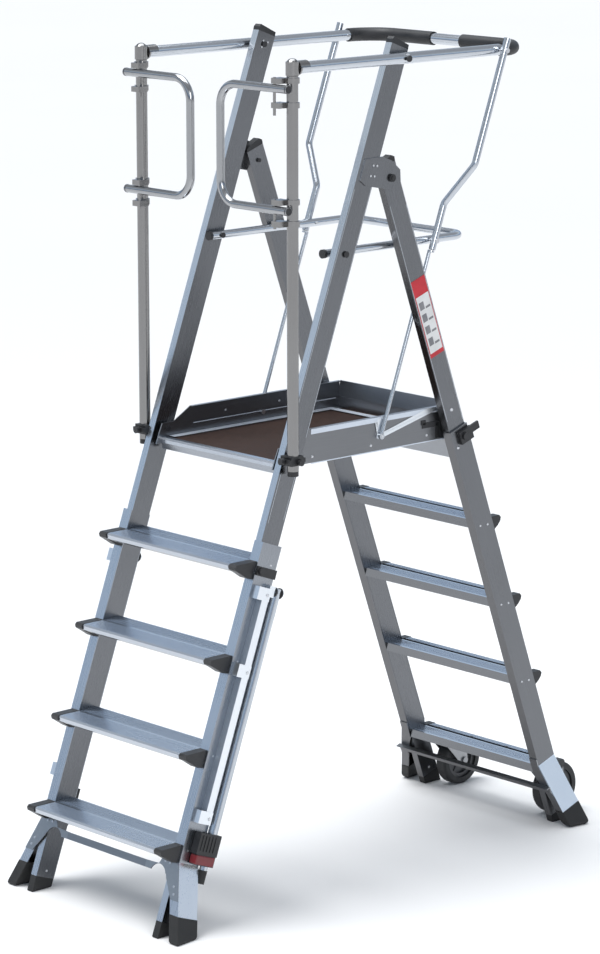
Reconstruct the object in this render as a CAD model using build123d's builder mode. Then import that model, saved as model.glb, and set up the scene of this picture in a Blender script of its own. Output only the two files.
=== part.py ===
# Folding platform ladder with telescopic legs, guard rail, gates, outriggers and wheels.
# Millimetres. +X right-hand side, -Y climbing side, +Y rear, +Z up, ground at Z = 0.
import math
import os

from build123d import *

os.makedirs("parts", exist_ok=True)

# ---- driving dimensions ----
FRONT_LEAN = 20.2
REAR_LEAN = 19.8
FRONT_FOOT_Y = -857.0
REAR_FOOT_Y = 706.0

INNER_FACE = 261.6
STILE_WIDTH = 24.0
OUTER_FACE = INNER_FACE + STILE_WIDTH
STILE_X = INNER_FACE + STILE_WIDTH / 2
FRONT_DEPTH = 66.0
REAR_DEPTH = 64.0
STILE_WALL = 1.8

FRONT_TREADS = (1000.0, 750.0, 500.0, 250.0)
REAR_TREADS = (985.0, 735.0, 485.0, 190.0)
TREAD_HEIGHT = 25.0
TREAD_WALL = 2.2
TREAD_HALF = 261.3

SLEEVE_LIP = 2.8
FRONT_SLEEVE_OUT = 296.5
REAR_SLEEVE_OUT = 292.0
FRONT_BEND_Z = 200.0
REAR_BEND_Z = 190.0
FRONT_LEG_END_Z = 72.0
REAR_LEG_END_Z = 50.0
SPLAY = 0.36

DECK_Z = 1250.0
PIVOT_Z = 1276.0
MID_Z = 1813.0
TOP_Z = 2341.0
LINK = 365.0

POST_X = 313.0
POST_Y = -377.0
POST_R = 16.0
RAIL_X = 313.0
RAIL_R = 16.0
RAIL_REAR_Y = 523.0
MID_X = 237.5
MID_R = 11.5
MID_REAR_Y = 358.0

GATE_Y = -414.0
GATE_R = 11.5
GATE_PIN_X = 282.0
GATE_TOP_Z = 2288.0
GATE_LOW_Z = 1960.0
GATE_EDGE_X = 62.5

WHEEL_X = 206.0
WHEEL_Y = 793.0
WHEEL_R = 79.0
WHEEL_W = 40.0
AXLE_R = 6.0

OUT_X = 303.0
OUT_V = 84.0
OUT_R = 14.0
OUT_TOP_Z = 905.0

SIDES = (-1, 1)
SIN_F = math.sin(math.radians(FRONT_LEAN))
COS_F = math.cos(math.radians(FRONT_LEAN))
SIN_R = math.sin(math.radians(REAR_LEAN))
COS_R = math.cos(math.radians(REAR_LEAN))
PIVOT_DEPTH = FRONT_DEPTH / 2
REAR_PIVOT_W = REAR_DEPTH / 2
REAR_PIVOT_Z = 2010.0

# Frames along the stiles: local X is across, local Y goes from the front face to the rear, local Z is up.
FRONT = Plane(origin=(0, FRONT_FOOT_Y, 0), x_dir=(1, 0, 0), z_dir=(0, SIN_F, COS_F))
REAR = Plane(origin=(0, REAR_FOOT_Y, 0), x_dir=(1, 0, 0), z_dir=(0, -SIN_R, COS_R))
# Frames on the front faces of the stiles: local X is across, local Y is up the stile.
FRONT_FACE = Plane(origin=(0, FRONT_FOOT_Y, 0), x_dir=(1, 0, 0), z_dir=(0, -COS_F, SIN_F))
REAR_FACE = Plane(origin=(0, REAR_FOOT_Y, 0), x_dir=(1, 0, 0), z_dir=(0, -COS_R, -SIN_R))


def front_y(z, v=0.0):
    return FRONT_FOOT_Y + z * SIN_F / COS_F + v / COS_F


def rear_y(z, w=0.0):
    return REAR_FOOT_Y - z * SIN_R / COS_R + w / COS_R


def front_u(z, v=0.0):
    return (z + v * SIN_F) / COS_F


def rear_u(z, w=0.0):
    return (z - w * SIN_R) / COS_R


def save(builder, label):
    builder.part.label = label
    export_step(builder.part, "parts/" + label + ".step")


def across(x, y, z):
    return Location((x, y, z), (0, 90, 0))


def bar(frame, u_low, u_high, x_low, x_high, v_low, v_high):
    with BuildPart() as piece:
        with BuildSketch(frame.offset(u_low)):
            with Locations(((x_low + x_high) / 2, (v_low + v_high) / 2)):
                Rectangle(x_high - x_low, v_high - v_low)
        extrude(amount=u_high - u_low)
    return piece.part


def mirrored_bar(frame, side, u_low, u_high, x_low, x_high, v_low, v_high):
    low, high = sorted((side * x_low, side * x_high))
    return bar(frame, u_low, u_high, low, high, v_low, v_high)


def side_plate(points, x_low, x_high):
    with BuildPart() as piece:
        with BuildSketch(Plane.YZ.offset(x_low)):
            Polygon(*points, align=None)
        extrude(amount=x_high - x_low)
    return piece.part


def mirrored_plate(points, side, x_low, x_high):
    low, high = sorted((side * x_low, side * x_high))
    return side_plate(points, low, high)


def tube(points, radius, wall, corner):
    with BuildPart() as piece:
        with BuildLine() as path:
            FilletPolyline(*points, radius=corner)
        with BuildSketch(path.line ^ 0):
            Circle(radius)
            Circle(radius - wall, mode=Mode.SUBTRACT)
        sweep(path=path.line)
    return piece.part


def straight_tube(start, end, radius, wall):
    with BuildPart() as piece:
        with BuildLine() as path:
            Line(start, end)
        with BuildSketch(path.line ^ 0):
            Circle(radius)
            if wall:
                Circle(radius - wall, mode=Mode.SUBTRACT)
        sweep(path=path.line)
    return piece.part


def ground():
    with BuildPart() as piece:
        with Locations((0, 0, -500)):
            Box(3000, 4000, 1000)
    return piece.part


GROUND = ground()

# ---- pivot points shared by the pieces ----
DECK_PIVOT_Y = front_y(PIVOT_Z, 0) + PIVOT_DEPTH / COS_F
MID_PIVOT_Y = front_y(MID_Z, 0) + PIVOT_DEPTH / COS_F
TOP_PIVOT_Y = front_y(TOP_Z, 0) + PIVOT_DEPTH / COS_F
DECK_LINK_Y = DECK_PIVOT_Y + LINK
MID_LINK_Y = MID_PIVOT_Y + LINK
TOP_LINK_Y = TOP_PIVOT_Y + LINK
REAR_PIVOT_Y = rear_y(REAR_PIVOT_Z, 0) + REAR_PIVOT_W / COS_R

# ======================= front frame =======================
FOOT_U = front_u(34, 33)
STILE_TOP_U = front_u(2372, 33)

with BuildPart() as front_stiles:
    for side in SIDES:
        with BuildSketch(FRONT.offset(FOOT_U)):
            with Locations((side * STILE_X, FRONT_DEPTH / 2)):
                Rectangle(STILE_WIDTH, FRONT_DEPTH)
                Rectangle(STILE_WIDTH - 2 * STILE_WALL, FRONT_DEPTH - 2 * STILE_WALL, mode=Mode.SUBTRACT)
        extrude(amount=STILE_TOP_U - FOOT_U)
    for y, z in ((DECK_PIVOT_Y, PIVOT_Z), (MID_PIVOT_Y, MID_Z), (TOP_PIVOT_Y, TOP_Z)):
        for side in SIDES:
            with Locations(across(side * STILE_X, y, z)):
                Cylinder(5.1, STILE_WIDTH + 4, mode=Mode.SUBTRACT)
save(front_stiles, "front_stiles")


def front_tread_points(z, inner):
    low = z - TREAD_HEIGHT
    if inner:
        return (
            (front_y(z, 0.5), z),
            (front_y(z) + 62.7, z),
            (front_y(z) + 62.7, low),
            (front_y(low, 0.5), low),
        )
    return (
        (front_y(z, -0.5), z),
        (front_y(z) - 74, z),
        (front_y(z) - 78, z - 5),
        (front_y(z) - 76, z - 16),
        (front_y(z) - 60, low),
        (front_y(low, -0.5), low),
    )


def tread(points):
    with BuildPart() as piece:
        with BuildSketch(Plane.YZ.offset(-TREAD_HALF)):
            Polygon(*points, align=None)
            offset(amount=-TREAD_WALL, kind=Kind.INTERSECTION, mode=Mode.SUBTRACT)
        extrude(amount=2 * TREAD_HALF)
    return piece.part


with BuildPart() as front_inner_treads:
    for height in FRONT_TREADS:
        add(tread(front_tread_points(height, True)))
save(front_inner_treads, "front_inner_treads")

# Rounded plastic caps in the stile tops.
with BuildPart() as front_stile_caps:
    for side in SIDES:
        with BuildSketch(Plane.YZ.offset(side * STILE_X - STILE_WIDTH / 2)):
            with BuildLine():
                top_z = STILE_TOP_U * COS_F
                top_y = FRONT_FOOT_Y + STILE_TOP_U * SIN_F
                back_y = top_y + FRONT_DEPTH * COS_F
                back_z = top_z - FRONT_DEPTH * SIN_F
                Polyline(
                    (top_y, top_z + 0.1),
                    (top_y + 3, top_z + 10),
                    (top_y + 10, top_z + 16),
                    (back_y - 12, back_z + 19),
                    (back_y + 3, back_z + 12),
                    (back_y, back_z + 0.1),
                    close=True,
                )
            make_face()
        extrude(amount=STILE_WIDTH)
save(front_stile_caps, "front_stile_caps")

with BuildPart() as front_upright_feet:
    for side in SIDES:
        add(mirrored_bar(FRONT, side, -40, FOOT_U - 0.1, INNER_FACE, OUTER_FACE, 0, FRONT_DEPTH))
    add(GROUND, mode=Mode.SUBTRACT)
save(front_upright_feet, "front_upright_feet")

HINGE_PLATE = (
    (front_y(2070) + 14, 2070),
    (REAR_PIVOT_Y - 34, 2072),
    (REAR_PIVOT_Y + 2, 2058),
    (REAR_PIVOT_Y + 34, 2030),
    (REAR_PIVOT_Y + 36, 1992),
    (REAR_PIVOT_Y + 8, 1974),
    (front_y(2010) + 36, 1996),
    (front_y(2012) + 14, 2012),
)
with BuildPart() as hinge_plates:
    for side in SIDES:
        add(mirrored_plate(HINGE_PLATE, side, OUTER_FACE + 0.1, OUTER_FACE + 3.6))
        with Locations(across(side * (OUTER_FACE + 2), REAR_PIVOT_Y, REAR_PIVOT_Z)):
            Cylinder(6.0, 8, mode=Mode.SUBTRACT)
save(hinge_plates, "hinge_plates")

# Rivet heads on the hinge plates and at the stile tops.
with BuildPart() as front_rivets:
    for side in SIDES:
        for v, z in ((46, 2050), (60, 2048), (46, 2022), (60, 2020)):
            with Locations(across(side * (OUTER_FACE + 4.6), front_y(z, v), z)):
                Cylinder(3.2, 1.8)
        for v, z in ((26, 2352), (26, 2334), (44, 2346)):
            with Locations(across(side * (INNER_FACE - 1.1), front_y(z, v), z)):
                Cylinder(2.8, 2.0)
save(front_rivets, "front_rivets")

with BuildPart() as front_pivot_bolts:
    for side in SIDES:
        for y, z, inner_x, outer_x in (
            (MID_PIVOT_Y, MID_Z, 221, 291),
            (TOP_PIVOT_Y, TOP_Z, 257, 337),
        ):
            with Locations(across(side * (inner_x + outer_x) / 2, y, z)):
                Cylinder(5.0, outer_x - inner_x)
            with Locations(across(side * (outer_x - 2.3), y, z)):
                Cylinder(9.0, 4.6)
            with Locations(across(side * (inner_x + 2), y, z)):
                Cylinder(8.0, 4)
        with Locations(across(side * 262.2, DECK_PIVOT_Y, PIVOT_Z)):
            Cylinder(5.0, 46.4)
        with Locations(across(side * 241, DECK_PIVOT_Y, PIVOT_Z)):
            Cylinder(8.0, 4)
        with Locations(across(side * (OUTER_FACE + 5.5), TOP_PIVOT_Y, TOP_Z)):
            Cylinder(9.0, 10.6)
        with Locations(across(side * 277, REAR_PIVOT_Y, REAR_PIVOT_Z)):
            Cylinder(5.9, 42)
        with Locations(across(side * 293.0, REAR_PIVOT_Y, REAR_PIVOT_Z)):
            Cylinder(11.0, 6.4)
save(front_pivot_bolts, "front_pivot_bolts")

with BuildPart() as guard_posts:
    for side in SIDES:
        add(straight_tube((side * POST_X, POST_Y, 1240), (side * POST_X, POST_Y, 2320.8), POST_R, 2.0))
save(guard_posts, "guard_posts")

# Tee head on each post with an open saddle that hooks over the end of the top rail.
with BuildPart() as post_tees:
    for side in SIDES:
        with Locations((side * POST_X, POST_Y, 2340.5)):
            Cylinder(18.5, 36.8)
        with Locations((side * POST_X, POST_Y, 2358.9)):
            Sphere(18.5, arc_size1=0, arc_size2=90)
        with Locations(Location((side * POST_X, POST_Y + 32, TOP_Z), (90, 0, 0))):
            Cylinder(20.0, 34)
        with Locations(Location((side * POST_X, POST_Y + 36, TOP_Z), (90, 0, 0))):
            Cylinder(16.8, 30, mode=Mode.SUBTRACT)
        with Locations((side * POST_X, POST_Y + 42, TOP_Z - 20)):
            Box(60, 44, 44, mode=Mode.SUBTRACT)
save(post_tees, "post_tees")

# Clamp blocks with round knobs that hold the lower post ends on the stiles.
with BuildPart() as post_clips:
    for side in SIDES:
        with Locations((side * 308.5, POST_Y, 1270)):
            Box(45, 44, 26)
        with Locations((side * 308.5, POST_Y, 1270)):
            Box(45.0, 60, 12)
        with Locations((side * POST_X, POST_Y, 1270)):
            Cylinder(POST_R + 0.1, 60, mode=Mode.SUBTRACT)
        with Locations(Location((side * 306, POST_Y - 36, 1270), (90, 0, 0))):
            Cylinder(9, 13)
        with Locations(across(side * 337, POST_Y + 6, 1266)):
            Cylinder(9, 13)
    for side in SIDES:
        with Locations((side * POST_X, POST_Y, 1233)):
            Cylinder(POST_R - 0.5, 13.8)
save(post_clips, "post_clips")

# Clamp collars on the posts, each pair joined by the upright pin its gate arm turns on.
with BuildPart() as gate_collars:
    for side in SIDES:
        for low, high in ((2235, 2250), (2301, 2316), (1914, 1930), (1973, 1988)):
            with BuildSketch(Plane.XY.offset(low)):
                with Locations((side * POST_X, POST_Y)):
                    Circle(POST_R + 4)
                with Locations((side * 291, GATE_Y + 11)):
                    Rectangle(32, 34)
                with Locations((side * POST_X, POST_Y)):
                    Circle(POST_R + 0.1, mode=Mode.SUBTRACT)
            extrude(amount=high - low)
        for low, high in ((2215, 2318), (1908, 1990)):
            with Locations((side * GATE_PIN_X, GATE_Y, (low + high) / 2)):
                Cylinder(4.0, high - low)
save(gate_collars, "gate_collars")

# ======================= gates =======================
for side, label in ((1, "gate_right"), (-1, "gate_left")):
    outer = side * 334.0
    edge = side * GATE_EDGE_X
    with BuildPart() as gate:
        add(
            tube(
                (
                    (outer, GATE_Y, GATE_TOP_Z),
                    (edge, GATE_Y, GATE_TOP_Z),
                    (edge, GATE_Y, GATE_LOW_Z),
                    (outer, GATE_Y, GATE_LOW_Z),
                ),
                GATE_R,
                1.8,
                62,
            )
        )
        for height in (GATE_TOP_Z, GATE_LOW_Z):
            with Locations(Location((side * GATE_PIN_X, GATE_Y, height), (0, 90, 0))):
                Cylinder(GATE_R - 1.0, 26)
            with Locations((side * GATE_PIN_X, GATE_Y, height)):
                Cylinder(4.06, 60, mode=Mode.SUBTRACT)
            with Locations(across(side * 335.5, GATE_Y, height)):
                Cylinder(GATE_R, 6)
    save(gate, label)

# ======================= folding platform =======================
BOARD_IN = 244.0
BOARD_OUT = 247.5
BOARD_LOW = 1235.0
BOARD_HIGH = 1330.0
BOARD_REAR = 321.0
REAR_BOARD_Y = 316.0
BOARD_FRONT = -264.0

with BuildPart() as side_boards:
    for side in SIDES:
        points = (
            (front_y(BOARD_LOW, 8), BOARD_LOW),
            (BOARD_REAR, BOARD_LOW),
            (BOARD_REAR, BOARD_HIGH),
            (BOARD_FRONT, BOARD_HIGH),
            (DECK_PIVOT_Y + 24, PIVOT_Z + 16),
            (DECK_PIVOT_Y - 18, PIVOT_Z + 16),
            (DECK_PIVOT_Y - 30, PIVOT_Z - 10),
        )
        add(mirrored_plate(points, side, BOARD_IN, BOARD_OUT))
        flange = (
            (BOARD_FRONT, BOARD_HIGH - 2.5),
            (REAR_BOARD_Y - 0.5, BOARD_HIGH - 2.5),
            (REAR_BOARD_Y - 0.5, BOARD_HIGH),
            (BOARD_FRONT, BOARD_HIGH),
        )
        add(mirrored_plate(flange, side, BOARD_IN - 9, BOARD_IN))
        shelf = (
            (front_y(DECK_Z, 45), BOARD_LOW),
            (REAR_BOARD_Y - 2, BOARD_LOW),
            (REAR_BOARD_Y - 2, BOARD_LOW + 2.5),
            (front_y(DECK_Z, 45), BOARD_LOW + 2.5),
        )
        add(mirrored_plate(shelf, side, 212, BOARD_IN))
        lip = (
            (front_y(DECK_Z, 60), DECK_Z + 0.2),
            (REAR_BOARD_Y - 4, DECK_Z + 0.2),
            (REAR_BOARD_Y - 4, DECK_Z + 2.7),
            (front_y(DECK_Z, 60), DECK_Z + 2.7),
        )
        add(mirrored_plate(lip, side, 219, BOARD_IN))
        with Locations(across(side * 246, DECK_PIVOT_Y, PIVOT_Z)):
            Cylinder(5.06, 20, mode=Mode.SUBTRACT)
        with Locations(across(side * 246, DECK_LINK_Y, PIVOT_Z)):
            Cylinder(4.06, 20, mode=Mode.SUBTRACT)
save(side_boards, "side_boards")

with BuildPart() as deck_board:
    with Locations(((0, (front_y(DECK_Z, 42) + REAR_BOARD_Y - 4) / 2, DECK_Z - 6))):
        Box(2 * 243.7, REAR_BOARD_Y - 4 - front_y(DECK_Z, 42), 12)
save(deck_board, "deck_board")

FRONT_BEAM_Y = front_y(DECK_Z, 20)
with BuildPart() as front_beam:
    nose = (
        (FRONT_BEAM_Y + 22, DECK_Z - 30),
        (FRONT_BEAM_Y + 22, DECK_Z + 2),
        (FRONT_BEAM_Y + 6, DECK_Z + 2),
        (FRONT_BEAM_Y + 1, DECK_Z - 3),
        (FRONT_BEAM_Y, DECK_Z - 12),
        (FRONT_BEAM_Y + 4, DECK_Z - 30),
    )
    with BuildSketch(Plane.YZ.offset(-243.7)):
        Polygon(*nose, align=None)
        offset(amount=-2.0, kind=Kind.INTERSECTION, mode=Mode.SUBTRACT)
    extrude(amount=487.4)
save(front_beam, "front_beam")

# Rear toe board and the deeper folded beam below it.
with BuildPart() as rear_board:
    profile = (
        (REAR_BOARD_Y, 1168),
        (REAR_BOARD_Y + 22, 1168),
        (REAR_BOARD_Y + 22, 1171),
        (REAR_BOARD_Y + 3, 1171),
        (REAR_BOARD_Y + 3, 1284),
        (REAR_BOARD_Y + 10, BOARD_HIGH),
        (REAR_BOARD_Y + 7, BOARD_HIGH),
        (REAR_BOARD_Y, 1284),
    )
    with BuildSketch(Plane.YZ.offset(-243.7)):
        Polygon(*profile, align=None)
    extrude(amount=487.4)
save(rear_board, "rear_board")

# V-shaped stays on the outer faces of the side boards.
STAY_LOW = PIVOT_Z - 6
with BuildPart() as platform_stays:
    for side in SIDES:
        stay = (
            (DECK_LINK_Y - 12, STAY_LOW),
            (DECK_LINK_Y + 14, STAY_LOW),
            (DECK_LINK_Y + 230, BOARD_HIGH - 8),
            (DECK_LINK_Y + 230, BOARD_HIGH),
            (DECK_LINK_Y + 190, BOARD_HIGH),
            (DECK_LINK_Y + 16, PIVOT_Z + 9),
            (DECK_LINK_Y + 14, BOARD_HIGH - 6),
            (DECK_LINK_Y - 8, BOARD_HIGH - 6),
        )
        add(mirrored_plate(stay, side, BOARD_OUT + 0.1, BOARD_OUT + 1.7))
        with Locations(across(side * 248, DECK_LINK_Y, PIVOT_Z)):
            Cylinder(4.06, 20, mode=Mode.SUBTRACT)
save(platform_stays, "platform_stays")

# ======================= guard rail =======================
RAIL_FRONT_Y = POST_Y + 21.5
with BuildPart() as top_rail:
    add(
        tube(
            (
                (-RAIL_X, RAIL_FRONT_Y, TOP_Z),
                (-RAIL_X, RAIL_REAR_Y, TOP_Z),
                (RAIL_X, RAIL_REAR_Y, TOP_Z),
                (RAIL_X, RAIL_FRONT_Y, TOP_Z),
            ),
            RAIL_R,
            2.0,
            95,
        )
    )
    for side in SIDES:
        with Locations(across(side * RAIL_X, TOP_PIVOT_Y, TOP_Z)):
            Cylinder(RAIL_R - 2.5, 27)
        with Locations(across(side * RAIL_X, TOP_PIVOT_Y, TOP_Z)):
            Cylinder(5.06, 60, mode=Mode.SUBTRACT)
        with Locations(across(side * RAIL_X, TOP_LINK_Y, TOP_Z)):
            Cylinder(4.06, 60, mode=Mode.SUBTRACT)
save(top_rail, "top_rail")

with BuildPart() as rail_grips:
    for side in SIDES:
        add(
            tube(
                (
                    (side * 60, RAIL_REAR_Y, TOP_Z),
                    (side * RAIL_X, RAIL_REAR_Y, TOP_Z),
                    (side * RAIL_X, RAIL_REAR_Y - 104, TOP_Z),
                ),
                RAIL_R + 3.8,
                3.75,
                95,
            )
        )
save(rail_grips, "rail_grips")

MID_FRONT_Y = MID_PIVOT_Y - 34
with BuildPart() as mid_rail:
    add(
        tube(
            (
                (-MID_X, MID_FRONT_Y, MID_Z),
                (-MID_X, MID_REAR_Y, MID_Z),
                (MID_X, MID_REAR_Y, MID_Z),
                (MID_X, MID_FRONT_Y, MID_Z),
            ),
            MID_R,
            1.8,
            50,
        )
    )
    for side in SIDES:
        with Locations(across(side * MID_X, MID_PIVOT_Y, MID_Z)):
            Cylinder(MID_R - 2, 18)
        with Locations(across(side * MID_X, MID_PIVOT_Y, MID_Z)):
            Cylinder(5.06, 40, mode=Mode.SUBTRACT)
        with Locations(across(side * MID_X, MID_LINK_Y, MID_Z)):
            Cylinder(4.06, 40, mode=Mode.SUBTRACT)
save(mid_rail, "mid_rail")

with BuildPart() as mid_rail_caps:
    for side in SIDES:
        with Locations(Location((side * MID_X, MID_FRONT_Y - 5.1, MID_Z), (90, 0, 0))):
            Cylinder(MID_R + 1.0, 10)
save(mid_rail_caps, "mid_rail_caps")


# ======================= swinging struts =======================
STRUT_X = 343.2
STRUT_LOW_X = 263.2
ROD_X = 255.0


def link_y(z):
    return DECK_LINK_Y + (z - PIVOT_Z) * SIN_F / COS_F


with BuildPart() as upper_struts:
    for side in SIDES:
        add(
            tube(
                (
                    (side * STRUT_X, link_y(2374), 2374),
                    (side * STRUT_X, link_y(2028), 2028),
                    (side * STRUT_LOW_X, link_y(1915), 1915),
                    (side * STRUT_LOW_X, link_y(1788), 1788),
                ),
                10,
                1.8,
                28,
            )
        )
        with Locations(across(side * STRUT_X, TOP_LINK_Y, TOP_Z)):
            Cylinder(4.06, 40, mode=Mode.SUBTRACT)
        with Locations(across(side * STRUT_LOW_X, MID_LINK_Y, MID_Z)):
            Cylinder(4.06, 40, mode=Mode.SUBTRACT)
save(upper_struts, "upper_struts")

with BuildPart() as lower_rods:
    for side in SIDES:
        add(
            straight_tube(
                (side * ROD_X, link_y(1784), 1784),
                (side * ROD_X, link_y(PIVOT_Z), PIVOT_Z),
                5.5,
                0,
            )
        )
        with Locations(Location((side * (STRUT_LOW_X - 2), link_y(1783.4), 1783.4), (-FRONT_LEAN, 0, 0))):
            Cylinder(9.4, 5)
        with Locations(across(side * ROD_X, DECK_LINK_Y, PIVOT_Z)):
            Cylinder(9, 10)
        with Locations(across(side * ROD_X, DECK_LINK_Y, PIVOT_Z)):
            Cylinder(4.06, 20, mode=Mode.SUBTRACT)
save(lower_rods, "lower_rods")

with BuildPart() as strut_bolts:
    for side in SIDES:
        for y, z, inner_x, outer_x in (
            (TOP_LINK_Y, TOP_Z, 294, 357),
            (MID_LINK_Y, MID_Z, 222, 277),
            (DECK_LINK_Y, PIVOT_Z, 239, 261),
        ):
            with Locations(across(side * (inner_x + outer_x) / 2, y, z)):
                Cylinder(4.0, outer_x - inner_x)
        with Locations(across(side * 355.1, TOP_LINK_Y, TOP_Z)):
            Cylinder(7, 3.6)
        with Locations(across(side * 275.5, MID_LINK_Y, MID_Z)):
            Cylinder(7, 3.6)
        with Locations(across(side * 240.5, DECK_LINK_Y, PIVOT_Z)):
            Cylinder(7, 3.6)
save(strut_bolts, "strut_bolts")

# ======================= rear frame =======================
REAR_TOP_U = rear_u(REAR_PIVOT_Z, REAR_PIVOT_W) + 38
REAR_FOOT_U = rear_u(34, 32)

with BuildPart() as rear_stiles:
    for side in SIDES:
        with BuildSketch(REAR.offset(REAR_FOOT_U)):
            with Locations((side * STILE_X, REAR_DEPTH / 2)):
                Rectangle(STILE_WIDTH, REAR_DEPTH)
                Rectangle(STILE_WIDTH - 2 * STILE_WALL, REAR_DEPTH - 2 * STILE_WALL, mode=Mode.SUBTRACT)
        extrude(amount=REAR_TOP_U - REAR_FOOT_U)
        with Locations(across(side * STILE_X, REAR_PIVOT_Y, REAR_PIVOT_Z)):
            Cylinder(5.96, STILE_WIDTH + 4, mode=Mode.SUBTRACT)
save(rear_stiles, "rear_stiles")

with BuildPart() as rear_inner_treads:
    for height in REAR_TREADS:
        low = height - TREAD_HEIGHT
        add(
            tread(
                (
                    (rear_y(height, 4), height),
                    (rear_y(height, REAR_DEPTH), height),
                    (rear_y(low, REAR_DEPTH), low),
                    (rear_y(height, 4), low),
                )
            )
        )
save(rear_inner_treads, "rear_inner_treads")

with BuildPart() as rear_stile_caps:
    for side in SIDES:
        peak_z = REAR_TOP_U * COS_R
        peak_y = REAR_FOOT_Y - REAR_TOP_U * SIN_R
        cap_back_y = peak_y + REAR_DEPTH * COS_R
        cap_back_z = peak_z + REAR_DEPTH * SIN_R
        with BuildSketch(Plane.YZ.offset(side * STILE_X - STILE_WIDTH / 2)):
            Polygon(
                (peak_y, peak_z + 0.1),
                (cap_back_y, cap_back_z + 0.1),
                (cap_back_y - 3, cap_back_z + 12),
                (cap_back_y - 14, cap_back_z + 16),
                (peak_y + 12, peak_z + 20),
                (peak_y - 1, peak_z + 8),
                align=None,
            )
        extrude(amount=STILE_WIDTH)
save(rear_stile_caps, "rear_stile_caps")

with BuildPart() as rear_upright_feet:
    for side in SIDES:
        add(mirrored_bar(REAR, side, -40, REAR_FOOT_U - 0.1, INNER_FACE, OUTER_FACE, 0, REAR_DEPTH))
    add(GROUND, mode=Mode.SUBTRACT)
save(rear_upright_feet, "rear_upright_feet")


# ======================= telescopic lower sections =======================
def lower_leg(face, side, outer_x, depth, bend_u, top_u, end_u):
    # Outer channel with an outward bend: open towards the inner stile it slides on.
    run = SPLAY * (bend_u - end_u)
    outer = (
        (side * INNER_FACE, top_u),
        (side * outer_x, top_u),
        (side * outer_x, bend_u + 4),
        (side * (outer_x + run), end_u),
        (side * (INNER_FACE + run), end_u),
        (side * INNER_FACE, bend_u),
    )
    hollow = (
        (side * (INNER_FACE - 40), top_u + 5),
        (side * (OUTER_FACE + 0.5), top_u + 5),
        (side * (OUTER_FACE + 0.5), bend_u + 4),
        (side * (outer_x + run - 3), end_u),
        (side * (outer_x + run - 3), end_u - 5),
        (side * (INNER_FACE - 40), end_u - 5),
    )
    with BuildPart() as piece:
        with BuildSketch(face.offset(-depth - 0.6 - SLEEVE_LIP)):
            Polygon(*outer, align=None)
        extrude(amount=depth + 1.2 + 2 * SLEEVE_LIP)
        with BuildSketch(face.offset(-depth - 0.5)):
            Polygon(*hollow, align=None)
        extrude(amount=depth + 1.0, mode=Mode.SUBTRACT)
        with BuildSketch(face.offset(-depth + 6)):
            with Locations((side * (OUTER_FACE + outer_x) / 2, (top_u + bend_u) / 2 + 4)):
                Rectangle(outer_x - OUTER_FACE - 4.4, top_u - bend_u + 20)
        if outer_x - OUTER_FACE > 9:
            extrude(amount=depth - 12, mode=Mode.SUBTRACT)
    return piece.part


def splay_foot(face, side, outer_x, depth, bend_u, end_u):
    run_top = SPLAY * (bend_u - end_u)
    run_low = SPLAY * (bend_u + 60)
    points = (
        (side * (INNER_FACE + run_top - 1.5), end_u - 0.1),
        (side * (outer_x + run_top + 1.5), end_u - 0.1),
        (side * (outer_x + run_low + 1.5), -60),
        (side * (INNER_FACE + run_low - 1.5), -60),
    )
    with BuildPart() as piece:
        with BuildSketch(face.offset(-depth - 5)):
            Polygon(*points, align=None)
        extrude(amount=depth + 10)
        add(GROUND, mode=Mode.SUBTRACT)
    return piece.part


def gusset(face, side, outer_x, bend_u, thickness, foot_u):
    # Front plate that ties sleeve, splayed leg and crossbar together, with an arched cut-out.
    run = SPLAY * (bend_u - foot_u)
    points = (
        (side * 170, bend_u - 36),
        (side * 170, bend_u - 16),
        (side * 222, bend_u - 14),
        (side * 238, bend_u + 20),
        (side * (INNER_FACE - 1), bend_u + 20),
        (side * (INNER_FACE - 1), bend_u + 1),
        (side * outer_x, bend_u + 1),
        (side * (outer_x + run), foot_u),
        (side * (INNER_FACE + run + 4), foot_u),
        (side * (INNER_FACE + 2), bend_u - 45),
        (side * (INNER_FACE - 2), bend_u - 36),
    )
    with BuildPart() as piece:
        with BuildSketch(face.offset(0.7 + SLEEVE_LIP)):
            Polygon(*points, align=None)
            with Locations((side * 226, bend_u - 48)):
                Circle(33, mode=Mode.SUBTRACT)
        extrude(amount=thickness)
    return piece.part


FRONT_BEND_U = front_u(FRONT_BEND_Z)
FRONT_END_U = front_u(FRONT_LEG_END_Z)
FRONT_SLEEVE_TOP = front_u(1052)
with BuildPart() as front_sleeves:
    for side in SIDES:
        add(lower_leg(FRONT_FACE, side, FRONT_SLEEVE_OUT, FRONT_DEPTH, FRONT_BEND_U, FRONT_SLEEVE_TOP, FRONT_END_U))
save(front_sleeves, "front_sleeves")

with BuildPart() as front_outer_treads:
    for height in FRONT_TREADS:
        add(tread(front_tread_points(height, False)))
save(front_outer_treads, "front_outer_treads")

with BuildPart() as front_tread_caps:
    for height in FRONT_TREADS:
        low = height - 46
        points = (
            (front_y(height + 1, -3.7), height + 1),
            (front_y(height) - 76, height + 1),
            (front_y(height) - 82, height - 5),
            (front_y(height) - 80, height - 14),
            (front_y(height) - 56, height - 30),
            (front_y(low) - 22, low + 4),
            (front_y(low, -3.7), low),
        )
        for side in SIDES:
            add(mirrored_plate(points, side, TREAD_HALF + 0.1, 291))
save(front_tread_caps, "front_tread_caps")

with BuildPart() as front_gussets:
    for side in SIDES:
        add(gusset(FRONT_FACE, side, FRONT_SLEEVE_OUT, FRONT_BEND_U, 3.0, front_u(108)))
save(front_gussets, "front_gussets")

with BuildPart() as front_crossbar:
    with BuildSketch(FRONT_FACE.offset(0.7 + SLEEVE_LIP)):
        with Locations((0, FRONT_BEND_U - 26)):
            Rectangle(2 * 169.8, 20)
    extrude(amount=3.0)
save(front_crossbar, "front_crossbar")

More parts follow.
